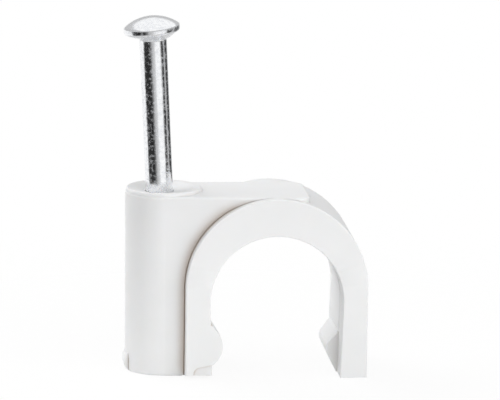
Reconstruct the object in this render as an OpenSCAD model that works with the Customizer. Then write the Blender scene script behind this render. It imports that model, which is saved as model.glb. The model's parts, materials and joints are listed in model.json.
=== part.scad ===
// Nail-in cable clip: a moulded arch with a nail boss at one side, and its steel nail half driven.
// The clip stands on the wall plane, z = 0. The cable runs through the arch along Y.

/* [Nail] */
// Shank diameter of the nail
nail_d = 2; // [1.4:0.1:3]
// Length of the nail from its point to the top of its head
nail_l = 25; // [21:0.5:40]
// Diameter of the nail's head
head_d = 4.12; // [3.2:0.02:5]
// Height of the head's dome above its rim
dome_h = 0.74; // [0.4:0.02:1.6]
// Thickness of the head's rim
rim_t = 0.42; // [0.1:0.02:0.7]
// Height of the cone under the head
head_cone_h = 0.57; // [0.3:0.01:1.2]
// Length of the four-sided point
point_l = 2.4; // [1.5:0.1:4]
// Height of the point's tip above the wall plane
tip_z = 1.3; // [0.3:0.05:2]

/* [Boss] */
// Radius of the boss, which is also half the depth of the web beside it
boss_r = 2.85; // [2.4:0.05:3.6]
// Height of the boss
boss_h = 13.6; // [11:0.1:18]
// Step from the top of the web up to the top of the boss's collar
boss_step = 0.24; // [0.2:0.02:0.6]
// How far the collar is set in from the side of the boss
collar_inset = 0.05; // [0.02:0.01:0.2]
// Lean of the nail's way, with its top away from the cable
lean = 2.9; // [0:0.1:5]
// Radial clearance between the nail's shank and the bore
bore_clear = 0.1; // [0.04:0.01:0.3]
// Diameter of the shallow dish round the mouth of the bore
dish_d = 4.4; // [3.4:0.05:4.6]
// Depth of the dish
dish_h = 0.22; // [0.1:0.01:0.5]
// Rounding of the rim of the boss's collar
collar_r = 0.2; // [0.05:0.01:0.3]
// How much narrower than the shank the throat at the foot is
throat_grip = 0.2; // [0:0.05:0.4]
// Height of the throat above the wall plane
throat_h = 2.1; // [1.2:0.1:2.4]
// Height of the funnel from the throat up to the bore
funnel_h = 1; // [0.6:0.1:1.6]

/* [Arch] */
// Distance from the bore's axis to the middle of the arch
arch_x = 8.04; // [7.6:0.02:9]
// Radius of the cable seat inside the arch
seat_r = 4.83; // [4.2:0.01:5.2]
// Height of the cable seat's axis above the wall plane
seat_z = 5.69; // [5:0.01:6.6]
// Thickness of the legs
leg_t = 1.85; // [1.2:0.01:2.4]
// Depth of the arch along the cable
arch_d = 8.16; // [7:0.02:12]
// Rounding of the outer edges of the arch
edge_r = 0.08; // [0.04:0.01:0.3]
// How far the jaws stand inside the seat's radius at the seat's axis
jaw_lead = 0.07; // [0.04:0.01:0.15]
// How far the jaws stand inside the seat's radius at the wall plane
jaw_close = 0.17; // [0.04:0.01:0.4]
// Drop from the top of the web to the crown of the arch
crown_drop = 0.02; // [0.01:0.01:0.3]
// How far the web runs on past the middle of the arch
web_past = 2.46; // [1:0.02:3.6]
// Rounding of the web's far corners
web_end_r = 1.3; // [0.4:0.05:2]

/* [Retaining ribs] */
// Height where the upper flank of the rib on the boss's side leaves the leg
near_rib_top = 3.6; // [3:0.05:4]
// Height of that rib's crest
near_rib_z = 1.95; // [1.6:0.05:2.4]
// Height where its lower flank meets the leg
near_rib_low = 0.5; // [0.2:0.05:0.9]
// How far its two flanks would reach in from the leg if they ran on to an edge
near_rib_reach = 1.08; // [0.7:0.02:1.3]
// Rounding of its crest
near_rib_r = 1.15; // [0.4:0.05:1.3]
// Distance from that rib's end to the back of the arch
near_rib_stop = 2.1; // [1:0.1:3]
// Height where the upper flank of the rib on the free leg leaves the leg
free_rib_top = 3.17; // [2.8:0.01:4]
// Height of that rib's crest
free_rib_z = 2; // [1.6:0.05:2.4]
// Height where its lower flank would meet the leg, under the wall plane
free_rib_low = -0.17; // [-0.4:0.01:0.4]
// How far its two flanks would reach in from the leg if they ran on to an edge
free_rib_reach = 1.05; // [0.7:0.01:1.3]
// Rounding of its crest
free_rib_r = 0.4; // [0.2:0.02:0.8]
// Distance from that rib's end to the back of the arch
free_rib_stop = 0.8; // [0.4:0.1:2]
// Depth of the plain land in front of the rib on the free leg
land_d = 2.1; // [1:0.1:3]
// Parting step between the land and the rest of the seat
land_step = 0.05; // [0.02:0.01:0.15]

/* [Gate marks] */
// Width of the gate stub on the boss
gate_w = 2; // [1:0.1:3]
// Height of the gate stub above the wall plane
gate_h = 1.95; // [1.2:0.05:3]
// How far the gate stub stands off the boss
gate_proud = 0.15; // [0.05:0.01:0.3]
// Radius of the gate stub's rounded top
gate_r = 0.8; // [0.5:0.05:1]
// Height of the sheared facet on the near leg, at the middle of the leg
facet_h = 0.78; // [0.4:0.02:1.2]
// Depth of the sheared facet along the wall plane
facet_d = 0.87; // [0.4:0.01:1.1]
// Slope of the facet's upper edge across the leg
facet_slope = 18; // [0:1:30]

/* [Hidden] */
$fn = 96;
// How far cuts run past the faces that they open
over = 1;

nail_r = nail_d / 2;
head_r = head_d / 2;
bore_r = nail_r + bore_clear;
throat_r = nail_r - throat_grip / 2;
web_top = boss_h - boss_step;

// The dish has a narrow flat round the bore and a cone out to its rim.
dish_r = dish_d / 2;
dish_flat_r = bore_r + bore_clear;

// The nail's way crosses the boss's axis half way up. Its lengths are measured along its own axis.
cross_z = boss_h / 2;
mouth = cross_z / cos(lean);
tip_to_cross = (cross_z - tip_z) / cos(lean);

// The crown of the arch is nearly level with the web.
arch_r = seat_r + leg_t;
arch_z = web_top - crown_drop - arch_r;
land_y = land_d - arch_d / 2;
leg_face = seat_r - (jaw_lead + jaw_close) / 2;

// The origin is in the middle of the box round the whole part, on the wall plane.
head_reach = (nail_l - dome_h - tip_to_cross) * sin(lean) + head_r * cos(lean);
left_reach = max(boss_r + gate_proud, head_reach);
right_reach = arch_x + arch_r;
mid_x = (right_reach - left_reach) / 2;

module rounded_rectangle(w, d, r) {
    square([w - 2 * r, d], center = true);
    square([w, d - 2 * r], center = true);
    for (x = [-1, 1], y = [-1, 1])
        translate([x * (w / 2 - r), y * (d / 2 - r)]) circle(r);
}

// Half of a rounded rectangle, to be turned about the Y axis.
module rounded_rim(r, d, edge) {
    intersection() {
        rounded_rectangle(2 * r, d, edge);
        translate([0, -d]) square([r + over, 2 * d]);
    }
}

// A flat outline in X and Z, drawn through the depth from y0 to y1.
module along_cable(y0, y1) {
    translate([0, y1, 0]) rotate([90, 0, 0]) linear_extrude(y1 - y0) children();
}

// The outside of the arch: a half round on two upright sides, with its edges rounded.
module arch_block() {
    translate([arch_x, 0, arch_z]) rotate([90, 0, 0])
        rotate_extrude(angle = 180) rounded_rim(arch_r, arch_d, edge_r);
    translate([arch_x, 0, 0])
        linear_extrude(arch_z) rounded_rectangle(2 * arch_r, arch_d, edge_r);
}

// Outline of the cable's way in: a round seat over two jaws that close toward the wall plane.
module seat_outline(grow) {
    r = seat_r + grow;
    upper = r - jaw_lead;
    lower = upper - (jaw_close - jaw_lead) * (seat_z + over) / seat_z;
    translate([arch_x, seat_z]) {
        circle(r);
        polygon([[-upper, 0], [upper, 0], [lower, -seat_z - over], [-lower, -seat_z - over]]);
    }
}

module cable_way() {
    along_cable(land_y, arch_d / 2 + over) seat_outline(0);
    along_cable(-arch_d / 2 - over, land_y) seat_outline(land_step);
}

// Section of a rib, with the leg's face at x = 0 and the rib rooted behind it. Two straight flanks
// run into a rounded crest, which is drawn in short flats.
module rib_section(top, crest, low, reach, r) {
    rise = atan2(top - crest, reach);
    fall = atan2(crest - low, reach);
    turn = 180 + (fall - rise) / 2;
    centre = [reach, crest] + r / sin((rise + fall) / 2) * [cos(turn), sin(turn)];
    flats = 12;
    crest_line = [
        for (i = [0 : flats])
            let (a = 90 - rise + (rise + fall - 180) * i / flats) centre + r * [cos(a), sin(a)]
    ];
    root = leg_t / 2;
    intersection() {
        polygon(concat([[-root, low], [-root, top], [0, top]], crest_line, [[0, low]]));
        translate([-root, 0]) square([root + reach, boss_h]);
    }
}

// The rib along the foot of the leg beside the boss. It starts at the front edge of the leg.
module near_rib() {
    along_cable(edge_r - arch_d / 2, arch_d / 2 - near_rib_stop) translate([arch_x - leg_face, 0])
        rib_section(near_rib_top, near_rib_z, near_rib_low, near_rib_reach, near_rib_r);
}

// The rib along the foot of the free leg. It starts behind the plain land.
module free_rib() {
    along_cable(land_y, arch_d / 2 - free_rib_stop) translate([arch_x + leg_face, 0]) mirror([1, 0])
        rib_section(free_rib_top, free_rib_z, free_rib_low, free_rib_reach, free_rib_r);
}

// The boss is the half-round end of the web.
module boss() {
    rotate([0, 0, 90]) rotate_extrude(angle = 180) square([boss_r, web_top]);
}

// A low collar round the mouth of the bore, with a rounded rim.
module collar() {
    translate([0, 0, boss_h / 2]) rotate_extrude()
        rounded_rim(boss_r - collar_inset, boss_h, collar_r);
}

// The web is as deep as the boss. It runs from the boss's axis over the crown of the arch.
module web() {
    run = arch_x + web_past;
    half = boss_r - web_end_r;
    linear_extrude(web_top) {
        translate([0, -boss_r]) square([run - web_end_r, 2 * boss_r]);
        translate([0, -half]) square([run, 2 * half]);
        for (side = [-1, 1]) translate([run - web_end_r, side * half]) circle(web_end_r);
    }
}

// The stub that is left of the moulding gate, with a rounded top.
module gate_stub() {
    x = -boss_r - gate_proud + gate_r;
    z = gate_h - gate_r;
    along_cable(-gate_w / 2, gate_w / 2) {
        translate([x, z]) circle(gate_r);
        translate([x - gate_r, 0]) square([gate_r, z]);
    }
}

// Stands what is drawn about the nail's axis in the boss, with the crossing point at zero.
module on_nail_axis() {
    translate([0, 0, cross_z]) rotate([0, -lean, 0]) children();
}

// The nail's way through the boss: a narrow throat, a funnel and a plain bore.
module nail_way() {
    on_nail_axis() rotate_extrude() polygon([
        [0, -mouth - over],
        [throat_r, -mouth - over],
        [throat_r, throat_h - mouth],
        [bore_r, throat_h + funnel_h - mouth],
        [bore_r, mouth + over],
        [0, mouth + over]
    ]);
}

// The dish in the top of the boss, square to the boss and round the place where the nail comes out.
module dish() {
    grow = (dish_r - dish_flat_r) / dish_h;
    translate([-cross_z * tan(lean), 0, boss_h - dish_h])
        cylinder(h = dish_h + over, r1 = dish_flat_r, r2 = dish_r + grow * over);
}

// A flat sheared across the lower front corner of the leg beside the boss.
module sheared_facet() {
    reach = 2 * leg_t;
    translate([arch_x - seat_r - leg_t / 2, -arch_d / 2, facet_h])
        rotate([0, -facet_slope, 0]) rotate([-atan(facet_h / facet_d), 0, 0])
            translate([-reach / 2, -reach, -reach]) cube([reach, 2 * reach, reach]);
}

module clip_body() {
    color("whitesmoke") translate([-mid_x, 0, 0]) difference() {
        union() {
            difference() {
                union() {
                    arch_block();
                    boss();
                    collar();
                    web();
                    gate_stub();
                }
                cable_way();
                nail_way();
                dish();
            }
            near_rib();
            free_rib();
        }
        sheared_facet();
    }
}

// Section of the nail from its axis outward: shank, cone, rim and domed head.
module nail_section() {
    rim_z = nail_l - dome_h;
    cone_z = rim_z - rim_t - head_cone_h;
    dome_r = (head_r * head_r + dome_h * dome_h) / (2 * dome_h);
    polygon([[0, 0], [nail_r, 0], [nail_r, cone_z], [head_r, rim_z - rim_t], [head_r, rim_z], [0, rim_z]]);
    intersection() {
        translate([0, nail_l - dome_r]) circle(dome_r);
        translate([0, rim_z]) square([head_r, dome_h]);
    }
}

// Four flats ground to a point at the nail's end.
module point_cuts() {
    reach = 4 * nail_r;
    for (turn = [0 : 90 : 270])
        rotate([0, 0, turn]) rotate([0, atan2(nail_r, point_l), 0])
            translate([0, -reach / 2, -reach]) cube([reach, reach, reach + 2 * point_l]);
}

module nail() {
    color("silver") translate([-mid_x, 0, 0]) on_nail_axis() translate([0, 0, -tip_to_cross])
        difference() {
            rotate_extrude() nail_section();
            point_cuts();
        }
}

clip_body();
nail();
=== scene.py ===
"""A nail-in cable clip, dressed for the picture: a moulded clip and its zinc-plated nail.

Sizes are in millimetres while a piece is shaped, and each finished mesh is brought to metres.
"""

import json
import logging
import math
from dataclasses import dataclass
from enum import Enum
from typing import Any, Callable, Sequence

import bmesh
import bpy
from mathutils import Matrix, Vector

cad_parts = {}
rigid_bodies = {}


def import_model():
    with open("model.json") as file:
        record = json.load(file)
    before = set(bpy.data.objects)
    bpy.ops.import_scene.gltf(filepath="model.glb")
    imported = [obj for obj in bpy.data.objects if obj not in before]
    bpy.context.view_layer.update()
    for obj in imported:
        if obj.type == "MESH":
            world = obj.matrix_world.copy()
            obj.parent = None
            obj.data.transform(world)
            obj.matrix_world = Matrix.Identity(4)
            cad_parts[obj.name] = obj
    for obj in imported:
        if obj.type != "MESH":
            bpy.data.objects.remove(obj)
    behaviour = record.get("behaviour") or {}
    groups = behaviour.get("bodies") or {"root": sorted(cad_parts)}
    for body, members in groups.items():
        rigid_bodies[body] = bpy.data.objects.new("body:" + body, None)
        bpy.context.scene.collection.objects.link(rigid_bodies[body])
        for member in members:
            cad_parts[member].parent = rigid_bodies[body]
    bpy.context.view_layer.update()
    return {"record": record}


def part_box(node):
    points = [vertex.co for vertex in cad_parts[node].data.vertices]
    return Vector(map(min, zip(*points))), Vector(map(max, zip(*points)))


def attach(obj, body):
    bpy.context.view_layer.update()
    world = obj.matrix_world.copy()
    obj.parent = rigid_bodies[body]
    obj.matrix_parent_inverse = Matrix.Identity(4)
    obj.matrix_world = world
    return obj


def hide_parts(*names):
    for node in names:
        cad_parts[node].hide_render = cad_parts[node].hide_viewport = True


LOG = logging.getLogger("cable_clip")
MM = 0.001
# A point closer to a plane than this lies on it, in millimetres.
NEAR = 1e-3
# A face whose normal has more than this along an axis faces that way.
FACING = 0.99
# The boss's axis lies this far inside the left side of the CAD body, in millimetres.
BOSS_INSET = 3.0

Point = tuple[float, float, float]
Span = tuple[float, float]
Colour = tuple[float, float, float, float]
Mesh = bpy.types.Object
Tree = bpy.types.NodeTree
Socket = bpy.types.NodeSocket
Node = bpy.types.Node
Material = bpy.types.Material
Edge = bmesh.types.BMEdge
PointTest = Callable[[Vector], bool]
EdgeTest = Callable[[Edge], bool]


class Join(Enum):
    """How one solid is worked into another."""

    ADD = "UNION"
    CUT = "DIFFERENCE"


class Ease(Enum):
    """How a value runs between the ends of its range."""

    STRAIGHT = "LINEAR"
    SMOOTH = "SMOOTHSTEP"


class Side(Enum):
    """The two legs of the arch, by the sign of X from its middle."""

    NEAR_BOSS = -1
    FREE = 1


def linear(hex_colour: str) -> Colour:
    """Turn an sRGB colour into linear values for a shader.

    Args:
        hex_colour: The colour as #RRGGBB.

    Returns:
        Linear red, green and blue, with an alpha of one.
    """
    parts = [int(hex_colour[i : i + 2], 16) / 255 for i in (1, 3, 5)]
    values = [c / 12.92 if c <= 0.04045 else ((c + 0.055) / 1.055) ** 2.4 for c in parts]
    return (values[0], values[1], values[2], 1.0)


def grey(level: float) -> Colour:
    """Give a neutral colour of one linear level."""
    return (level, level, level, 1.0)


def feed(tree: Tree, node: Node, inputs: dict[Any, Any]) -> None:
    """Set or link the inputs of a node.

    Args:
        tree: The node tree.
        node: The node that takes them.
        inputs: Values or output sockets by the name or number of the input.
    """
    for key, value in inputs.items():
        if isinstance(value, Socket):
            tree.links.new(value, node.inputs[key])
        else:
            node.inputs[key].default_value = value


def add_node(
    tree: Tree, kind: str, settings: dict[str, Any] | None = None, inputs: dict[Any, Any] | None = None
) -> Node:
    """Add one node, set it up and link its inputs.

    Args:
        tree: The node tree that takes the node.
        kind: Blender's type name of the node.
        settings: Properties of the node by name.
        inputs: Values or output sockets by the name or number of the input.

    Returns:
        The new node.
    """
    node = tree.nodes.new(kind)
    for name, value in (settings or {}).items():
        setattr(node, name, value)
    feed(tree, node, inputs or {})
    return node


def start_material(name: str) -> tuple[Material, Tree, Node, Socket]:
    """Start a node material.

    Args:
        name: Its name.

    Returns:
        The material, its tree, its shader and the place on the piece.
    """
    made = bpy.data.materials.new(name)
    made.use_nodes = True
    tree = made.node_tree
    where = add_node(tree, "ShaderNodeTexCoord").outputs["Object"]
    return made, tree, tree.nodes["Principled BSDF"], where


def map_range(
    tree: Tree, value: Socket, source: Span, target: Span = (0.0, 1.0), ease: Ease = Ease.STRAIGHT
) -> Socket:
    """Map a value from one range to another, and hold it at the ends."""
    inputs = dict(zip(("Value", "From Min", "From Max", "To Min", "To Max"), (value, *source, *target)))
    return add_node(tree, "ShaderNodeMapRange", {"interpolation_type": ease.value}, inputs).outputs["Result"]


def maths(tree: Tree, operation: str, *values: Socket | float) -> Socket:
    """Work out one sum of sockets and numbers."""
    inputs = dict(enumerate(values))
    return add_node(tree, "ShaderNodeMath", {"operation": operation}, inputs).outputs["Value"]


def mix(tree: Tree, share: Socket, first: Socket | Colour, second: Socket | Colour) -> Socket:
    """Mix two colours by the share of the second."""
    inputs = {"Factor": share, "A": first, "B": second}
    return add_node(tree, "ShaderNodeMix", {"data_type": "RGBA"}, inputs).outputs["Result"]


def blend(tree: Tree, share: Socket, first: Socket, second: Socket) -> Socket:
    """Mix two shaders by the share of the second."""
    return add_node(tree, "ShaderNodeMixShader", inputs={0: share, 1: first, 2: second}).outputs["Shader"]


def noise(tree: Tree, where: Socket, size_mm: float, detail: float) -> Socket:
    """Give a cloudy pattern whose patches have a real size."""
    inputs = {"Vector": where, "Scale": 1 / (size_mm * MM), "Detail": detail}
    return add_node(tree, "ShaderNodeTexNoise", inputs=inputs).outputs["Fac"]


def bump(tree: Tree, height: Socket, strength: float, deep_mm: float, **under: Socket) -> Socket:
    """Raise a pattern of a real depth on the surface, or on the normal of another pattern."""
    inputs = {"Strength": strength, "Distance": deep_mm * MM, "Height": height, **under}
    return add_node(tree, "ShaderNodeBump", inputs=inputs).outputs["Normal"]


def seen_directly(tree: Tree, path: Node) -> Socket:
    """Tell the rays that show a thing, straight or mirrored, from the rays that only light it."""
    mirrored = maths(tree, "MAXIMUM", path.outputs["Is Glossy Ray"], path.outputs["Is Transmission Ray"])
    return maths(tree, "MAXIMUM", path.outputs["Is Camera Ray"], mirrored)


def clear() -> None:
    """Leave edit mode and deselect everything."""
    if bpy.context.mode != "OBJECT":
        bpy.ops.object.mode_set(mode="OBJECT")
    bpy.ops.object.select_all(action="DESELECT")


def take(piece: Mesh) -> None:
    """Select one piece alone and make it active.

    Args:
        piece: The piece to take.
    """
    clear()
    piece.select_set(True)
    bpy.context.view_layer.objects.active = piece


def open_up(piece: Mesh) -> None:
    """Enter edit mode on one piece with all of it selected.

    Args:
        piece: The piece to open.
    """
    take(piece)
    bpy.ops.object.mode_set(mode="EDIT")
    bpy.ops.mesh.select_all(action="SELECT")


def settle() -> None:
    """Set the place, turn and scale of the active piece into its mesh."""
    bpy.ops.object.transform_apply(location=True, rotation=True, scale=True)


def added(name: str) -> Mesh:
    """Name the primitive that was just added and set its place into its mesh.

    Args:
        name: The piece's name.

    Returns:
        The piece.
    """
    piece = bpy.context.active_object
    piece.name = name
    piece.data.name = name
    settle()
    return piece


def block(name: str, size: Point, middle: Point) -> Mesh:
    """Add a plain block.

    Args:
        name: The piece's name.
        size: Its three sides.
        middle: Its middle.

    Returns:
        The block.
    """
    clear()
    bpy.ops.mesh.primitive_cube_add(size=1.0, location=middle)
    bpy.context.active_object.scale = size
    return added(name)


def put(piece: Mesh, where: Matrix) -> None:
    """Move and turn a piece and set that into its mesh.

    Args:
        piece: The piece.
        where: Its new place and turn.
    """
    take(piece)
    piece.matrix_world = where
    settle()


def extrude(move: Point) -> None:
    """Extrude what is selected."""
    bpy.ops.mesh.extrude_region_move(TRANSFORM_OT_translate={"value": move})


def pick(piece: Mesh, kind: str, test: Callable[[Any], bool]) -> int:
    """Select vertices, edges or faces of a piece in edit mode by a test.

    Args:
        piece: The piece to work on.
        kind: VERT, EDGE or FACE.
        test: Says of a bmesh element whether it is picked.

    Returns:
        How many elements were picked.
    """
    if bpy.context.mode != "EDIT_MESH":
        take(piece)
        bpy.ops.object.mode_set(mode="EDIT")
    bpy.ops.mesh.select_mode(type=kind)
    bpy.ops.mesh.select_all(action="DESELECT")
    mesh = bmesh.from_edit_mesh(piece.data)
    pool = {"VERT": mesh.verts, "EDGE": mesh.edges, "FACE": mesh.faces}[kind]
    picked = [element for element in pool if test(element)]
    for element in picked:
        element.select_set(True)
    mesh.select_flush_mode()
    bmesh.update_edit_mesh(piece.data)
    return len(picked)


def bevel_edges(
    piece: Mesh, width: float, segments: int, at: PointTest, also: EdgeTest | None = None
) -> None:
    """Round the edges of a piece whose two ends lie in a place.

    Args:
        piece: The piece to work on.
        width: How far the rounding reaches from the edge.
        segments: Number of flats in the rounding.
        at: Says of an end whether it lies there.
        also: Says of an edge whether it is rounded, if that isn't enough.
    """

    def chosen(edge: Edge) -> bool:
        """Say whether an edge is rounded."""
        return all(at(vertex.co) for vertex in edge.verts) and (also is None or also(edge))

    if pick(piece, "EDGE", chosen):
        bpy.ops.mesh.bevel(offset=width, offset_type="OFFSET", segments=segments, profile=0.5)
    clear()


def bisect(piece: Mesh, at: Point, normal: Point, keep_below: bool = True) -> None:
    """Cut a piece by a plane, drop what is beyond it and close the cut.

    Args:
        piece: The piece to cut.
        at: A point on the plane.
        normal: The plane's normal.
        keep_below: Whether the side that the normal points away from stays.
    """
    open_up(piece)
    across = Vector(normal).normalized()
    bpy.ops.mesh.bisect(
        plane_co=at, plane_no=across, use_fill=True, clear_outer=keep_below, clear_inner=not keep_below
    )
    clear()


def tidy(piece: Mesh, merge: float = 1e-4) -> None:
    """Merge doubled points and turn all faces outward.

    Args:
        piece: The piece to tidy.
        merge: Points closer than this become one.
    """
    open_up(piece)
    bpy.ops.mesh.remove_doubles(threshold=merge)
    bpy.ops.mesh.normals_make_consistent(inside=False)
    clear()


def close_ends(piece: Mesh) -> None:
    """Fill every open border of a piece with a face.

    Args:
        piece: The piece to close.
    """
    open_up(piece)
    bpy.ops.mesh.select_mode(type="EDGE")
    bpy.ops.mesh.select_all(action="DESELECT")
    bpy.ops.mesh.select_non_manifold(
        extend=False, use_wire=False, use_boundary=True, use_multi_face=False,
        use_non_contiguous=False, use_verts=False
    )
    bpy.ops.mesh.edge_face_add()
    clear()


def work(piece: Mesh, tool: Mesh, how: Join) -> None:
    """Add one solid to another or cut it away, and use the tool up.

    Args:
        piece: The solid that stays.
        tool: The solid that is added or cut away.
        how: Whether it is added or cut away.
    """
    take(piece)
    modifier = piece.modifiers.new(how.name.lower(), "BOOLEAN")
    modifier.object = tool
    modifier.operation = how.value
    modifier.solver = "EXACT"
    bpy.ops.object.modifier_apply(modifier=modifier.name)
    spent = tool.data
    bpy.data.objects.remove(tool)
    bpy.data.meshes.remove(spent)


def lathe(name: str, stations: Sequence[Span], centre: Point, around: int) -> Mesh:
    """Turn a solid about the vertical: a disc is extruded and resized station by station.

    Args:
        name: Name of the new piece.
        stations: Radius and height of each ring, from the foot up.
        centre: The point that the heights are measured from.
        around: Number of points round each ring.

    Returns:
        The closed solid.
    """
    clear()
    radius, height = stations[0]
    axis = Vector(centre)
    bpy.ops.mesh.primitive_circle_add(
        vertices=around, radius=radius, fill_type="NGON", location=axis + Vector((0, 0, height))
    )
    piece = added(name)
    bpy.ops.object.mode_set(mode="EDIT")
    bpy.ops.mesh.select_all(action="SELECT")
    for next_radius, next_height in stations[1:]:
        extrude((0, 0, next_height - height))
        ratio = next_radius / radius
        bpy.ops.transform.resize(
            value=(ratio, ratio, 1), center_override=axis + Vector((0, 0, next_height))
        )
        radius, height = next_radius, next_height
    clear()
    close_ends(piece)
    tidy(piece, 1e-5)
    return piece


def finish(piece: Mesh, sharp_angle: float) -> None:
    """Bring a shaped piece to metres, smooth its shading and keep its flats flat.

    Args:
        piece: The piece, still in millimetres.
        sharp_angle: Edges that turn more than this stay sharp, in degrees.
    """
    take(piece)
    piece.scale = (MM, MM, MM)
    settle()
    bpy.ops.object.shade_smooth_by_angle(angle=math.radians(sharp_angle))
    weighted = piece.modifiers.new("flats", "WEIGHTED_NORMAL")
    weighted.keep_sharp = True
    bpy.ops.object.modifier_apply(modifier=weighted.name)
    clear()


@dataclass(frozen=True)
class MouldedPolypropylene:
    """White polypropylene from a spark-eroded mould: satin, slightly clouded, soft in the shade."""

    # An almost neutral white, and a trace darker where the melt is clouded.
    colour: str = "#EEEEEF"
    clouded: str = "#E9EAEA"
    roughness: Span = (0.36, 0.48)
    ior: float = 1.49
    # A warm brown darkening is painted into the corners beside the boss: painted shade where the corners are
    # occluded.
    # It fades out toward the open leg, six millimetres to the right of the middle, and toward the top.
    painted_shade: str = "#B29A81"
    painted_shade_share: float = 0.9
    corner_mm: float = 1.1
    corner_open: Span = (0.36, 0.9)
    shade_reach_mm: float = 6.0
    open_leg_share: float = 0.15
    shade_top_mm: float = 13.3
    shade_top_run_mm: float = 0.8
    top_share: float = 0.2
    # Light goes half a millimetre into the plastic and comes out a little warmer.
    scatter_mm: float = 0.5
    scatter_share: float = 0.1
    scatter_tint: Point = (1.0, 0.8, 0.6)
    # Spark erosion leaves a grain of a few hundredths. It is drawn at a tenth so that it shows.
    grain_mm: float = 0.11
    grain_deep_mm: float = 0.01
    grain_shown: float = 0.25
    # Shrinkage leaves faint waves of a few millimetres.
    ripple_mm: float = 2.6
    ripple_deep_mm: float = 0.03
    ripple_shown: float = 0.12

    def painted_shade_at(self, tree: Tree, where: Socket) -> Socket:
        """Find how much painted shade darkens a place: the occluded corners, less so toward the open leg and
        the top.

        Args:
            tree: The node tree.
            where: The place on the piece.

        Returns:
            The share of painted shade, from none to one.
        """
        # Ambient occlusion picks out the corners that get the painted shade.
        near = {"Distance": self.corner_mm * MM}
        corner = add_node(tree, "ShaderNodeAmbientOcclusion", {"samples": 8, "only_local": True}, near)
        occluded = map_range(tree, corner.outputs["AO"], self.corner_open, (self.painted_shade_share, 0.0))
        across = add_node(tree, "ShaderNodeSeparateXYZ", inputs={0: where})
        reach_span = (0.0, self.shade_reach_mm * MM)
        toward_boss = map_range(tree, across.outputs["X"], reach_span, (1.0, self.open_leg_share))
        rim = ((self.shade_top_mm - self.shade_top_run_mm) * MM, self.shade_top_mm * MM)
        below_top = map_range(tree, across.outputs["Z"], rim, (1.0, self.top_share))
        return maths(tree, "MULTIPLY", occluded, maths(tree, "MULTIPLY", toward_boss, below_top))

    def material(self) -> Material:
        """Build the node material.

        Returns:
            The finish.
        """
        made, tree, shader, where = start_material("moulded_polypropylene")
        cloud = noise(tree, where, self.ripple_mm, 3.0)
        tint = mix(tree, cloud, linear(self.colour), linear(self.clouded))
        # Painted shade: the occluded corners are darkened toward a warm brown.
        shaded_tint = mix(tree, self.painted_shade_at(tree, where), tint, linear(self.painted_shade))
        satin = map_range(tree, cloud, (0.0, 1.0), self.roughness)
        grain = noise(tree, where, self.grain_mm, 2.0)
        ripple = bump(tree, cloud, self.ripple_shown, self.ripple_deep_mm)
        normal = bump(tree, grain, self.grain_shown, self.grain_deep_mm, Normal=ripple)
        feed(tree, shader, {"Base Color": shaded_tint, "Roughness": satin, "Normal": normal, "IOR": self.ior})
        shader.inputs["Subsurface Weight"].default_value = self.scatter_share
        shader.inputs["Subsurface Radius"].default_value = self.scatter_tint
        shader.inputs["Subsurface Scale"].default_value = self.scatter_mm * MM
        return made


@dataclass(frozen=True)
class BrightZincPlate:
    """Drawn steel wire under bright zinc: a bluish mirror, pitted and streaked along the wire."""

    colour: str = "#FBFCFD"
    dull: str = "#E6E8EC"
    dull_at: Span = (0.35, 0.7)
    roughness: Span = (0.04, 0.26)
    # The die's marks run along the wire. Pits in the plate are about a fifth across.
    streak_mm: float = 0.12
    streak_run: float = 14.0
    streak_deep_mm: float = 0.02
    streak_shown: float = 0.25
    pit_mm: float = 0.22
    pit_deep_mm: float = 0.03
    pit_shown: float = 0.3
    # White bloom dulls the plate where the pits are thick.
    bloom_at: Span = (0.5, 0.66)
    bloom_metal: float = 0.68
    lean: float = 0.0

    def material(self) -> Material:
        """Build the node material.

        Returns:
            The finish.
        """
        made, tree, shader, where = start_material("bright_zinc_plated_steel")
        turned = {"Vector": where, "Rotation": (0.0, self.lean, 0.0)}
        upright = add_node(tree, "ShaderNodeMapping", inputs=turned).outputs["Vector"]
        stretched = {"Vector": upright, "Scale": (1.0, 1.0, 1 / self.streak_run)}
        drawn = add_node(tree, "ShaderNodeMapping", inputs=stretched).outputs["Vector"]
        streaks = noise(tree, drawn, self.streak_mm, 3.0)
        pits = noise(tree, upright, self.pit_mm, 4.0)
        patches = map_range(tree, pits, self.dull_at)
        tint = mix(tree, patches, linear(self.colour), linear(self.dull))
        gloss = map_range(tree, pits, (0.0, 1.0), self.roughness)
        wire = bump(tree, streaks, self.streak_shown, self.streak_deep_mm)
        normal = bump(tree, pits, self.pit_shown, self.pit_deep_mm, Normal=wire)
        bloom = map_range(tree, pits, self.bloom_at, (1.0, self.bloom_metal))
        feed(tree, shader, {"Base Color": tint, "Roughness": gloss, "Normal": normal, "Metallic": bloom})
        return made


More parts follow.
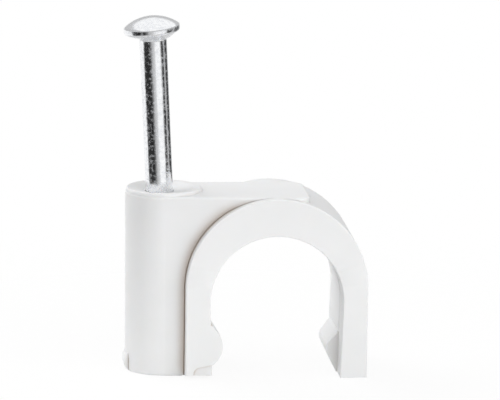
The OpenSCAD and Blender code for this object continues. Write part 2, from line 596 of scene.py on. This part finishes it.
@dataclass(frozen=True)
class PalePaper:
    """Matt paper under the part: it takes the shadow and fades into the white around it."""

    colour: str = "#F6F6F5"
    roughness: float = 0.9
    sheen: float = 0.1
    # Most of what is seen of the sheet is plain white. The rest is lit paper with the shadow.
    glow: float = 0.9
    # The plated nail mirrors the sheet as grey paper in the part's shade.
    mirror: float = 0.6
    # The sheet fades between these distances from the part, in metres.
    fade: Span = (0.025, 0.055)

    def material(self) -> Material:
        """Build the node material.

        Returns:
            The finish.
        """
        made, tree, shader, where = start_material("pale_paper")
        feed(tree, shader, {"Base Color": linear(self.colour), "Roughness": self.roughness})
        shader.inputs["Specular IOR Level"].default_value = self.sheen
        reach = add_node(tree, "ShaderNodeVectorMath", {"operation": "LENGTH"}, {0: where})
        fade = map_range(tree, reach.outputs["Value"], self.fade, ease=Ease.SMOOTH)
        path = add_node(tree, "ShaderNodeLightPath")
        share = maths(tree, "MULTIPLY", seen_directly(tree, path), self.glow)
        tone = maths(tree, "MULTIPLY_ADD", path.outputs["Is Glossy Ray"], self.mirror - 1.0, 1.0)
        white = add_node(tree, "ShaderNodeEmission", inputs={"Color": grey(1.0), "Strength": tone})
        paper = blend(tree, share, shader.outputs["BSDF"], white.outputs["Emission"])
        see_through = add_node(tree, "ShaderNodeBsdfTransparent").outputs["BSDF"]
        tree.links.new(blend(tree, fade, paper, see_through), tree.nodes["Material Output"].inputs["Surface"])
        return made


@dataclass(frozen=True)
class RibForm:
    """Section of a retaining rib, by heights on the leg and the reach of its two flanks."""

    top: float
    crest: float
    low: float
    reach: float
    round_r: float
    # How far short of the back it stops, and over what length it runs out into the leg.
    stop: float
    run_out: float


RIBS = {
    Side.NEAR_BOSS: RibForm(top=3.98, crest=2.26, low=0.97, reach=1.24, round_r=1.5, stop=4.6, run_out=4.4),
    Side.FREE: RibForm(top=2.97, crest=1.82, low=-0.2, reach=0.97, round_r=0.75, stop=0.8, run_out=0.4),
}


@dataclass
class ClipBody:
    """The moulded clip: an arch over the cable, and a boss for the nail joined by a web."""

    arch_x: float
    seat_r: float
    seat_z: float
    boss_x: float
    # The arch, its legs that close in toward the wall, and the land in front of the free rib.
    arch_r: float = 6.68
    arch_z: float = 6.66
    arch_d: float = 8.16
    arch_steps: int = 72
    leg_rings: tuple[float, ...] = (0.0, 0.6, 1.8, 3.0, 4.0, 4.6, 4.9, 5.2, 5.69, 6.1)
    edge_r: float = 0.08
    lip_r: float = 0.08
    # The corners of the lip lie within this of the inner side.
    lip_reach: float = 0.2
    jaw_close: float = 0.17
    land_y: float = -1.98
    land_step: float = 0.05
    # The boss and the web, whose front face comes forward toward its far end.
    boss_r: float = 2.85
    boss_draft: float = 0.085
    web_top: float = 13.36
    web_past: float = 2.46
    web_end_r: float = 1.3
    web_edge: float = 0.2
    web_foot_r: float = 0.12
    web_draft: float = 1.0
    # The fine line along the joint of the web and the arch.
    line_w: float = 0.07
    line_h: float = 0.14
    line_shift: Span = (-0.02, -0.05)
    # The collar, the dish in it and the nail's way.
    boss_h: float = 13.6
    collar_r: float = 2.8
    collar_edge: float = 0.2
    collar_root: float = 12.4
    lean: float = math.radians(2.9)
    bore_r: float = 1.04
    dish_r: float = 2.5
    dish_flat_r: float = 1.2
    dish_h: float = 0.31
    throat_r: float = 0.9
    throat_h: float = 2.1
    funnel_h: float = 1.0
    # The gate's stub on the boss and the slit where the gate tore.
    gate_w: float = 2.0
    gate_h: float = 1.6
    gate_foot: float = 0.02
    gate_deep: float = 1.0
    gate_proud: float = 0.04
    gate_top_r: float = 0.85
    gate_foot_r: float = 0.5
    gate_edge: float = 0.06
    # Its edges that turn more than this, in radians, are rounded, but for the root inside the boss.
    gate_sharp: float = 1.2
    gate_root: float = 0.1
    slit_w: float = 0.1
    slit_h: float = 0.98
    slit_deep: float = 0.6
    slit_in: float = 0.1
    slit_below: float = 0.1
    # The sheared facet and the lifted front on the foot of the leg beside the boss, angles in degrees.
    facet_h: float = 0.78
    facet_d: float = 0.12
    facet_x: float = 0.49
    facet_r: float = 0.5
    facet_slope: float = 11.0
    facet_lean: float = 7.0
    facet_block: float = 2.0
    foot_lift: float = 0.26
    foot_lean: float = 9.5
    foot_out: float = 0.15
    foot_block: float = 4.0
    # Cutters reach this far past what they cut, and past the leg's inner side.
    over: float = 1.0
    leg_over: float = 0.6
    sharp_angle: float = 32.0

    @staticmethod
    def upright(edge: Edge) -> bool:
        """Say whether an edge stands upright."""
        along = edge.verts[1].co - edge.verts[0].co
        return abs(along.z) > 0.9 * along.length

    @staticmethod
    def turns(edge: Edge, more_than: float = 1.0) -> bool:
        """Say whether the two faces at an edge turn by more than an angle in radians."""
        return len(edge.link_faces) == 2 and edge.calc_face_angle() > more_than

    def opening(self, z: float) -> float:
        """Find half the width of the cable's way in.

        Args:
            z: A height below the crown of the seat.

        Returns:
            The half width at that height.
        """
        if z >= self.seat_z:
            return math.sqrt(max(self.seat_r**2 - (z - self.seat_z) ** 2, 0.0))
        return self.seat_r - self.jaw_close * (self.seat_z - z) / self.seat_z

    def arch(self) -> Mesh:
        """Sweep a rounded leg section up, over and down, then draw its inner side to the seat.

        Returns:
            The closed arch.
        """
        clear()
        thick = self.arch_r - self.seat_r
        left = self.arch_x - self.arch_r
        bpy.ops.mesh.primitive_plane_add(size=1.0, location=(left + thick / 2, 0, 0))
        bpy.context.active_object.scale = (thick, self.arch_d, 1.0)
        piece = added("clip_body")
        bpy.ops.object.mode_set(mode="EDIT")
        for y in (self.land_y, self.land_y + self.land_step):
            bpy.ops.mesh.select_all(action="SELECT")
            bpy.ops.mesh.bisect(plane_co=(0, y, 0), plane_no=(0, 1, 0))
        inner = left + thick - NEAR
        pick(piece, "VERT", lambda v: v.co.x > inner and v.co.y < self.land_y + NEAR)
        bpy.ops.transform.translate(value=(-self.land_step, 0, 0))
        end = self.arch_d / 2 - NEAR
        pick(piece, "VERT", lambda v: v.co.x < left + NEAR and abs(v.co.y) > end)
        bpy.ops.mesh.bevel(affect="VERTICES", offset=self.edge_r, segments=4, profile=0.5)
        lip = inner - self.lip_reach
        pick(piece, "VERT", lambda v: v.co.x > lip and abs(v.co.y) > end)
        bpy.ops.mesh.bevel(affect="VERTICES", offset=self.lip_r, segments=3, profile=0.5)
        bpy.ops.mesh.select_all(action="SELECT")
        heights = [*self.leg_rings, self.arch_z]
        for low, high in zip(heights, heights[1:]):
            extrude((0, 0, high - low))
        over = (self.arch_x, 0, self.arch_z)
        bpy.ops.mesh.spin(steps=self.arch_steps, angle=-math.pi, center=over, axis=(0, 1, 0), dupli=False)
        for high, low in zip(heights[::-1], heights[-2::-1]):
            extrude((0, 0, low - high))
        clear()
        tidy(piece)
        close_ends(piece)
        tidy(piece)
        self.draw_in(piece)
        return piece

    def draw_in(self, piece: Mesh) -> None:
        """Move the inner side of the swept arch onto the seat and its jaws.

        Args:
            piece: The swept arch.
        """
        level = 1e-6
        drop = self.arch_z - self.seat_z
        middle = (self.arch_r + self.seat_r) / 2
        for vertex in piece.data.vertices:
            x = vertex.co.x - self.arch_x
            z = vertex.co.z - self.arch_z
            if z <= level:
                if abs(x) < middle:
                    vertex.co.x += math.copysign(1.0, x) * (self.opening(vertex.co.z) - self.seat_r)
                continue
            reach = math.hypot(x, z)
            if reach < middle:
                across, up = x / reach, z / reach
                seat = -drop * up + math.sqrt(self.seat_r**2 - (drop * across) ** 2)
                vertex.co.x += across * (seat - self.seat_r)
                vertex.co.z += up * (seat - self.seat_r)

    def rib(self, side: Side) -> Mesh:
        """Shape one retaining rib: a bar whose two flanks are cut to an edge that is then rounded.

        Args:
            side: The leg that carries it.

        Returns:
            The closed rib, rooted in the leg.
        """
        form = RIBS[side]
        sign = side.value
        leg = self.opening(form.crest)
        root = leg + 0.5 * (self.arch_r - self.seat_r)
        edge = leg - form.reach
        front = self.land_y if side is Side.FREE else -self.arch_d / 2
        back = self.arch_d / 2 - form.stop
        piece = block(
            f"rib_{side.name.lower()}",
            (root - edge, back - front, form.top),
            (self.arch_x + sign * (root + edge) / 2, (front + back) / 2, form.top / 2),
        )
        crest = (self.arch_x + sign * edge, 0, form.crest)
        bisect(piece, crest, (-sign * (form.top - form.crest), 0, form.reach))
        bisect(piece, crest, (-sign * (form.crest - form.low), 0, -form.reach))
        upper = math.atan2(form.reach, form.top - form.crest)
        lower = math.atan2(form.reach, form.crest - form.low)
        half = (math.pi - upper - lower) / 2
        width = form.round_r * math.tan(math.pi / 2 - half)
        bevel_edges(piece, width, 10, lambda co: abs(co.x - crest[0]) < NEAR and abs(co.z - crest[2]) < NEAR)
        bisect(piece, (self.arch_x + sign * leg, back, 0), (-sign * form.run_out, form.reach, 0))
        return piece

    def web(self) -> Mesh:
        """Draw the half-round boss out into the web, slant its front and round its rims.

        Returns:
            The closed web with the boss as its end.
        """
        clear()
        middle = (self.boss_x, 0, self.web_top / 2)
        bpy.ops.mesh.primitive_cylinder_add(
            vertices=128, radius=self.boss_r, depth=self.web_top, location=middle
        )
        piece = added("web")
        bisect(piece, (self.boss_x, 0, 0), (1, 0, 0))
        axis = self.boss_x - NEAR
        pick(piece, "FACE", lambda f: f.normal.x > FACING and f.calc_center_median().x > axis)
        extrude((self.arch_x + self.web_past - self.boss_x, 0, 0))
        clear()
        tidy(piece)
        end = self.arch_x + self.web_past - NEAR
        pick(piece, "VERT", lambda v: v.co.x > end and v.co.y < 0)
        bpy.ops.transform.translate(value=(0, -self.web_draft, 0))
        pick(piece, "VERT", lambda v: v.co.z < NEAR and v.co.x < axis)
        drawn = 1 - self.boss_draft / self.boss_r
        bpy.ops.transform.resize(value=(drawn, 1, 1), center_override=(self.boss_x, 0, 0))
        clear()
        bevel_edges(piece, self.web_end_r, 10, lambda co: co.x > end, self.upright)
        top = self.web_top - NEAR
        bevel_edges(piece, self.web_edge, 4, lambda co: co.z > top, self.turns)
        bevel_edges(piece, self.web_foot_r, 3, lambda co: co.z < NEAR, self.turns)
        return piece

    def tunnel(
        self, name: str, size: Span, middle: Point, spring_z: float, around: int, slant: float = 0.0
    ) -> Mesh:
        """Shape a plug like a tunnel: a round top that is drawn down straight, past the wall plane.

        Args:
            name: Name of the new piece.
            size: Radius of the round top, and length along the cable.
            middle: Middle of the round top.
            spring_z: Height from which it goes straight down.
            around: Number of points round the top.
            slant: How far it is turned about the vertical, in radians.

        Returns:
            The closed plug.
        """
        clear()
        bpy.ops.mesh.primitive_cylinder_add(
            vertices=around, radius=size[0], depth=size[1], location=middle, rotation=(math.pi / 2, 0, slant)
        )
        piece = added(name)
        bisect(piece, (0, 0, spring_z), (0, 0, 1), keep_below=False)
        pick(piece, "FACE", lambda f: f.normal.z < -FACING)
        extrude((0, 0, -spring_z - self.over))
        clear()
        tidy(piece)
        return piece

    def arch_core(self) -> Mesh:
        """Shape the plug that clears the web out of the arch, half way into the arch's wall."""
        size = ((self.arch_r + self.seat_r) / 2, 3 * self.boss_r)
        return self.tunnel("arch_core", size, (self.arch_x, 0, self.seat_z), self.seat_z, 96)

    def joint_line(self, front: bool) -> Mesh:
        """Shape the cutter for the fine line between the web's face and the arch.

        Args:
            front: Whether it is the line on the front face.

        Returns:
            The closed cutter, which the arch fills again but for the line.
        """
        slant = -self.web_draft / (self.arch_x + self.web_past - self.boss_x) if front else 0.0
        face = -self.boss_r + slant * (self.arch_x - self.boss_x) if front else self.boss_r
        middle = (self.arch_x + self.line_shift[0], face, self.arch_z + self.line_shift[1])
        size = (self.arch_r + self.line_w, 2 * self.line_h)
        return self.tunnel("joint_line", size, middle, self.arch_z, 144, math.atan(slant))

    def collar(self) -> Mesh:
        """Turn the low collar round the mouth of the bore, with a rounded rim.

        Returns:
            The closed collar.
        """
        edge = self.collar_edge
        rings = [(self.collar_r, self.collar_root)]
        for angle in (math.radians(degrees) for degrees in range(0, 91, 18)):
            out, up = 1 - math.cos(angle), 1 - math.sin(angle)
            rings.append((self.collar_r - edge * out, self.boss_h - edge * up))
        return lathe("collar", rings, (self.boss_x, 0, 0), 128)

    def nail_way(self) -> Mesh:
        """Turn the cutter for the nail's way and lean it: throat, funnel and bore.

        Returns:
            The closed cutter.
        """
        middle = self.boss_h / 2
        mouth = middle / math.cos(self.lean)
        stations = [
            (self.throat_r, -mouth - self.over),
            (self.throat_r, self.throat_h - mouth),
            (self.bore_r, self.throat_h + self.funnel_h - mouth),
            (self.bore_r, mouth + self.over / 2),
        ]
        piece = lathe("nail_way", stations, (0, 0, 0), 96)
        lean = Matrix.Rotation(-self.lean, 4, "Y")
        put(piece, Matrix.Translation((self.boss_x, 0, middle)) @ lean)
        return piece

    def dish(self) -> Mesh:
        """Turn the cutter for the shallow dish round the place where the nail comes out.

        Returns:
            The closed cutter.
        """
        middle = self.boss_x - math.tan(self.lean) * self.boss_h / 2
        slope = (self.dish_r - self.dish_flat_r) / self.dish_h
        foot = self.boss_h - self.dish_h
        # Rings a few hundredths apart soften the foot and the lip.
        stations = [
            (self.dish_flat_r - 0.04, foot),
            (self.dish_flat_r + 0.04, foot + 0.012),
            (self.dish_r - 0.05 * slope, self.boss_h - 0.05),
            (self.dish_r - 0.02 * slope, self.boss_h - 0.014),
            (self.dish_r + 0.06, self.boss_h + 0.005),
            (self.dish_r + 0.3, self.boss_h + 0.03),
            (self.dish_r + 0.3, self.boss_h + self.over / 2),
        ]
        return lathe("dish", stations, (middle, 0, 0), 96)

    def gate_stub(self) -> Mesh:
        """Shape the stub of the moulding gate at the foot of the boss.

        Returns:
            The closed stub, rooted in the boss.
        """
        outer = self.boss_x - self.boss_r - self.gate_proud
        piece = block(
            "gate_stub",
            (self.gate_deep, self.gate_w, self.gate_h - self.gate_foot),
            (outer + self.gate_deep / 2, 0, (self.gate_h + self.gate_foot) / 2),
        )
        face = outer + NEAR
        top = self.gate_h - NEAR
        foot = self.gate_foot + NEAR
        root = outer + self.gate_deep - self.gate_root
        bevel_edges(piece, self.gate_top_r, 8, lambda co: co.z > top and co.x < face)
        bevel_edges(piece, self.gate_foot_r, 5, lambda co: co.z < foot and co.x < face)
        sharp = self.gate_sharp
        bevel_edges(piece, self.gate_edge, 2, lambda co: co.x < root, lambda e: self.turns(e, sharp))
        return piece

    def gate_slit(self) -> Mesh:
        """Shape the cutter for the slit that the torn gate leaves beside its stub.

        Returns:
            The closed cutter.
        """
        y = -(self.gate_w + self.slit_w) / 2
        x = self.boss_x - math.sqrt(self.boss_r**2 - y**2)
        size = (self.slit_deep, self.slit_w, self.slit_h + self.slit_below)
        return block("gate_slit", size, (x + self.slit_in, y, (self.slit_h - self.slit_below) / 2))

    def sheared_facet(self) -> Mesh:
        """Place the block that shears a shallow flat on the foot of the leg beside the boss.

        Returns:
            The closed block, its upper corner rounded.
        """
        left = self.arch_x - self.arch_r + self.facet_x
        wide = self.arch_x - self.seat_r + self.leg_over - left
        side = self.facet_block
        piece = block("sheared_facet", (wide, side, side), (wide / 2, -side / 2, -side / 2))
        bevel_edges(piece, self.facet_r, 6, lambda co: co.x < NEAR and co.z > -NEAR)
        corner = Matrix.Translation((left, self.facet_d - self.arch_d / 2, self.facet_h))
        turn = Matrix.Rotation(-math.radians(self.facet_slope), 4, "Y")
        tilt = Matrix.Rotation(math.radians(self.facet_lean), 4, "X")
        put(piece, corner @ turn @ tilt)
        return piece

    def foot_relief(self) -> Mesh:
        """Place the block that lifts the front of that leg's foot a little off the wall.

        Returns:
            The closed block.
        """
        left = self.arch_x - self.arch_r - self.foot_out
        wide = self.arch_x - self.seat_r + self.leg_over - left
        size = (wide, self.foot_block, self.over)
        piece = block("foot_relief", size, (wide / 2, 0.0, -self.over / 2))
        tilt = Matrix.Rotation(-math.radians(self.foot_lean), 4, "X")
        put(piece, Matrix.Translation((left, -self.arch_d / 2, self.foot_lift)) @ tilt)
        return piece

    def build(self) -> Mesh:
        """Join the arch, web, boss and small features into one moulded body.

        Returns:
            The finished body in metres.
        """
        body = self.arch()
        web = self.web()
        work(web, self.arch_core(), Join.CUT)
        for front in (True, False):
            work(web, self.joint_line(front), Join.CUT)
        work(body, web, Join.ADD)
        work(body, self.collar(), Join.ADD)
        work(body, self.gate_stub(), Join.ADD)
        work(body, self.gate_slit(), Join.CUT)
        for side in Side:
            work(body, self.rib(side), Join.ADD)
        for cutter in (self.nail_way, self.dish, self.sheared_facet, self.foot_relief):
            work(body, cutter(), Join.CUT)
        tidy(body)
        finish(body, self.sharp_angle)
        return body

    def dress(self, body: Mesh) -> None:
        """Give the body its finish and let it stand for the CAD node.

        Args:
            body: The finished body.
        """
        body.data.materials.clear()
        body.data.materials.append(MouldedPolypropylene().material())
        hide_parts("clip_body")
        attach(body, "root")


@dataclass
class Nail:
    """The zinc-plated nail: drawn shank, four-sided point and a cold-headed dome."""

    boss_x: float
    # The nail's axis crosses the boss's axis at this height, and its point ends at this one.
    cross_z: float = 6.8
    tip_z: float = 1.3
    lean: float = math.radians(2.9)
    shank_r: float = 1.0
    shank_rings: tuple[float, ...] = (6.0, 10.0, 14.0, 18.0, 21.0)
    length: float = 25.0
    head_r: float = 2.06
    head_shift: float = -0.05
    head_tilt: float = math.radians(3.3)
    dome_h: float = 0.74
    dome_steps: int = 14
    # The dome's first ring lies at this share of its angle, just inside the rim.
    dome_start: float = 0.985
    rim_t: float = 0.5
    cone_h: float = 0.48
    point_l: float = 2.4
    sharp_angle: float = 40.0

    def stations(self) -> list[Span]:
        """List the radius and height of each ring from the point's end to the top of the dome.

        Returns:
            The rings, from the foot up.
        """
        rim_z = self.length - self.dome_h
        rim_foot = rim_z - self.rim_t
        cone_z = rim_foot - self.cone_h
        rings = [(self.shank_r, z) for z in (0.0, self.point_l, *self.shank_rings)]
        # Rings a few hundredths apart round the neck, the underside of the rim and its upper edge.
        rings += [
            (self.shank_r, cone_z - 0.05),
            (self.shank_r + 0.02, cone_z + 0.02),
            (self.shank_r + 0.09, cone_z + 0.08),
            (self.shank_r + 0.24, cone_z + 0.15),
            (self.head_r - 0.3, rim_foot - 0.06),
            (self.head_r - 0.14, rim_foot + 0.02),
            (self.head_r - 0.06, rim_foot + 0.08),
            (self.head_r - 0.015, rim_foot + 0.15),
            (self.head_r, rim_foot + 0.22),
            (self.head_r, rim_z - 0.06),
            (self.head_r - 0.012, rim_z - 0.015),
        ]
        dome_r = (self.head_r**2 + self.dome_h**2) / (2 * self.dome_h)
        foot = math.asin(self.head_r / dome_r)
        for step in range(self.dome_steps):
            angle = foot * (self.dome_start - step / self.dome_steps)
            rings.append((dome_r * math.sin(angle), self.length - dome_r * (1 - math.cos(angle))))
        return rings

    def set_head(self, piece: Mesh) -> None:
        """Tilt the head a little and push it off the wire's axis, as cold heading leaves it.

        Args:
            piece: The nail, still upright.
        """
        rim_foot = self.length - self.dome_h - self.rim_t
        under = rim_foot - 0.5 * self.cone_h
        pick(piece, "VERT", lambda v: v.co.z > under)
        bpy.ops.transform.rotate(
            value=self.head_tilt, orient_axis="Y", orient_type="GLOBAL", center_override=(0, 0, rim_foot)
        )
        bpy.ops.transform.translate(value=(self.head_shift, 0, 0))
        clear()

    def build(self) -> Mesh:
        """Turn the nail, grind its point and lean it in the boss.

        Returns:
            The finished nail in metres.
        """
        piece = lathe("nail", self.stations(), (0, 0, 0), 96)
        half = math.atan2(self.shank_r, self.point_l)
        for turn in range(4):
            angle = turn * math.pi / 2
            normal = (math.cos(angle) * math.cos(half), math.sin(angle) * math.cos(half), -math.sin(half))
            bisect(piece, (0, 0, 0), normal)
        tidy(piece)
        self.set_head(piece)
        below = (self.cross_z - self.tip_z) / math.cos(self.lean)
        lean = Matrix.Rotation(-self.lean, 4, "Y")
        crossing = Matrix.Translation((self.boss_x, 0, self.cross_z))
        put(piece, crossing @ lean @ Matrix.Translation((0, 0, -below)))
        finish(piece, self.sharp_angle)
        return piece

    def dress(self, piece: Mesh) -> None:
        """Give the nail its plate and let it stand for the CAD node.

        Args:
            piece: The finished nail.
        """
        piece.data.materials.clear()
        piece.data.materials.append(BrightZincPlate(lean=self.lean).material())
        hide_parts("nail")
        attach(piece, "root")


@dataclass(frozen=True)
class SoftBox:
    """A square soft box: degrees right of the camera and above the floor, side in metres, watts."""

    name: str
    angle: float
    height: float
    size: float
    watts: float

    def hang(self, azimuth: float, away: float, aim_z: float) -> None:
        """Hang the box so that it faces the part, out of sight of the plated nail.

        Args:
            azimuth: The camera's angle about the vertical, in degrees.
            away: Distance from the part in metres.
            aim_z: Height that it faces, in metres.
        """
        turn = math.radians(self.angle - azimuth)
        rise = math.radians(self.height)
        back = Vector((math.sin(turn) * math.cos(rise), -math.cos(turn) * math.cos(rise), math.sin(rise)))
        data = bpy.data.lights.new(self.name, "AREA")
        data.shape = "SQUARE"
        data.size = self.size
        data.energy = self.watts
        lamp = bpy.data.objects.new(self.name, data)
        lamp.location = back * away + Vector((0, 0, aim_z))
        lamp.rotation_mode = "QUATERNION"
        lamp.rotation_quaternion = (-back).to_track_quat("-Z", "Y")
        lamp.visible_glossy = False
        bpy.context.scene.collection.objects.link(lamp)


@dataclass
class Studio:
    """The pale floor, the soft light and the camera."""

    # The camera's place and angles, with the lens that frames 500 by 400 as the picture does.
    camera_at: Point = (-42.529, -418.356, 96.927)
    azimuth: float = 5.872
    elevation: float = 11.348
    roll: float = 0.722
    lens: float = 420.45
    # The sheet of paper lies a hair below the part, in metres.
    floor_r: float = 0.1
    floor_drop: float = 2e-5
    # Strength of the soft light from all round. It is weaker behind the part, whose pale back would burn out.
    fill: float = 0.9
    back_share: float = 0.3
    fill_turn: Span = (-0.9, 0.5)
    dome: float = 0.85
    dome_foot: Span = (0.25, 0.75)
    # What the plate mirrors over the cards: a grey wall, and a white ceiling that ends toward the left.
    wall: float = 0.55
    wall_foot: Span = (0.0, 0.1)
    ceiling_foot: Span = (0.45, 0.52)
    ceiling_left: Span = (-0.19, -0.09)
    ceiling_slant: float = 0.59
    # Brightness of the cards by the angle right of the camera, in degrees.
    bands: tuple[Span, ...] = (
        (-180.0, 0.9), (-150.0, 1.0), (-94.0, 1.0), (-85.0, 0.03), (-31.0, 0.02),
        (-23.0, 0.09), (-15.5, 0.24), (-9.5, 0.48), (2.0, 0.58), (11.0, 0.72),
        (19.0, 1.0), (58.0, 1.0), (65.0, 0.6), (71.0, 0.14), (78.0, 0.03),
        (90.0, 0.05), (97.0, 0.58), (103.0, 0.42), (110.0, 0.14), (121.0, 0.03),
        (140.0, 0.05), (160.0, 0.7), (180.0, 0.9),
    )
    lamps: tuple[SoftBox, ...] = (
        SoftBox("key", 26.0, 8.0, 0.48, 1.02),
        SoftBox("front", -3.0, 25.0, 0.3, 0.2),
        SoftBox("side", 70.0, 24.0, 0.4, 0.65),
        SoftBox("rim", -138.0, 26.0, 0.4, 1.9),
        SoftBox("left", -100.0, 20.0, 0.4, 0.8),
        SoftBox("top", 0.0, 86.0, 0.4, 0.6),
    )
    lamps_away: float = 0.6
    lamps_aim_z: float = 0.008

    def camera(self) -> None:
        """Set the camera where the picture was taken from."""
        across, high, roll = (math.radians(a) for a in (self.azimuth, self.elevation, self.roll))
        level = math.cos(high)
        ahead = Vector((math.sin(across) * level, math.cos(across) * level, -math.sin(high)))
        right = Vector((math.cos(across), -math.sin(across), 0))
        up = right.cross(ahead)
        right, up = (
            right * math.cos(roll) + up * math.sin(roll),
            up * math.cos(roll) - right * math.sin(roll),
        )
        data = bpy.data.cameras.new("camera")
        data.sensor_width = 36.0
        data.lens = self.lens
        data.clip_start = 0.01
        data.clip_end = 10.0
        camera = bpy.data.objects.new("camera", data)
        turn = Matrix((right, up, -ahead)).transposed().to_4x4()
        camera.matrix_world = Matrix.Translation(Vector(self.camera_at) * MM) @ turn
        bpy.context.scene.collection.objects.link(camera)
        bpy.context.scene.camera = camera

    def floor(self) -> None:
        """Lay the sheet of paper."""
        clear()
        bpy.ops.mesh.primitive_circle_add(
            vertices=96, radius=self.floor_r, fill_type="NGON", location=(0, 0, -self.floor_drop)
        )
        sheet = added("floor")
        sheet.data.materials.append(PalePaper().material())

    def cards(self, tree: Tree, angle: Socket) -> Socket:
        """Stand bright and dark cards round the part.

        Args:
            tree: The world's node tree.
            angle: The direction, right of the camera.

        Returns:
            The cards' colour in that direction.
        """
        ring = add_node(tree, "ShaderNodeValToRGB", inputs={0: map_range(tree, angle, (-math.pi, math.pi))})
        ramp = ring.color_ramp
        while len(ramp.elements) > 1:
            ramp.elements.remove(ramp.elements[-1])
        for index, (degrees, level) in enumerate(self.bands):
            spot = (degrees + 180) / 360
            stop = ramp.elements[0] if index == 0 else ramp.elements.new(spot)
            stop.position = spot
            stop.color = grey(level)
        return ring.outputs["Color"]

    def surroundings(self) -> None:
        """Surround the part with white, and with the bright and dark cards that metal needs."""
        world = bpy.data.worlds.new("studio")
        bpy.context.scene.world = world
        world.use_nodes = True
        tree = world.node_tree
        tree.nodes.clear()
        look = add_node(tree, "ShaderNodeTexCoord").outputs["Generated"]
        facing = {"Vector": look, "Rotation": (0.0, 0.0, math.radians(self.azimuth))}
        turned = add_node(tree, "ShaderNodeMapping", inputs=facing).outputs["Vector"]
        parts = add_node(tree, "ShaderNodeSeparateXYZ", inputs={0: turned})
        right, up = parts.outputs["X"], parts.outputs["Z"]
        toward = maths(tree, "MULTIPLY", parts.outputs["Y"], -1.0)
        cards = self.cards(tree, maths(tree, "ARCTAN2", right, toward))
        overhead = mix(tree, map_range(tree, up, self.dome_foot, ease=Ease.SMOOTH), cards, grey(self.dome))
        level = map_range(tree, toward, self.fill_turn, (self.back_share * self.fill, self.fill))
        fill = add_node(tree, "ShaderNodeBackground", inputs={"Color": overhead, "Strength": level})
        path = add_node(tree, "ShaderNodeLightPath")
        walls = mix(tree, map_range(tree, up, self.wall_foot), cards, grey(self.wall))
        leaning = maths(tree, "MULTIPLY_ADD", up, self.ceiling_slant, right)
        high = map_range(tree, up, self.ceiling_foot)
        ceiling = maths(tree, "MULTIPLY", high, map_range(tree, leaning, self.ceiling_left))
        mirrored = mix(tree, ceiling, walls, grey(1.0))
        seen = mix(tree, path.outputs["Is Camera Ray"], mirrored, grey(1.0))
        backdrop = add_node(tree, "ShaderNodeBackground", inputs={"Color": seen, "Strength": 1.0})
        lit, shown = fill.outputs["Background"], backdrop.outputs["Background"]
        surface = blend(tree, seen_directly(tree, path), lit, shown)
        add_node(tree, "ShaderNodeOutputWorld", inputs={"Surface": surface})

    def light(self) -> None:
        """Hang all the soft boxes."""
        for lamp in self.lamps:
            lamp.hang(self.azimuth, self.lamps_away, self.lamps_aim_z)


def main() -> None:
    """Build the clip, the nail and the studio."""
    logging.basicConfig(level=logging.INFO, format="%(name)s: %(message)s")
    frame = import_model()
    bpy.context.scene.view_settings.view_transform = "Standard"
    seat = next(m for m in frame["record"]["mounts"] if m["name"] == "cable_seat")
    arch_x = seat["pos_m"][0] / MM
    boss_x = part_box("clip_body")[0].x / MM + BOSS_INSET
    studio = Studio()
    studio.camera()
    clip = ClipBody(arch_x=arch_x, seat_r=seat["dims"]["r_mm"], seat_z=seat["pos_m"][2] / MM, boss_x=boss_x)
    body = clip.build()
    clip.dress(body)
    LOG.info("clip body: %d faces", len(body.data.polygons))
    nail = Nail(boss_x=boss_x)
    pin = nail.build()
    nail.dress(pin)
    LOG.info("nail: %d faces", len(pin.data.polygons))
    studio.floor()
    studio.surroundings()
    studio.light()


if __name__ == "__main__":
    main()
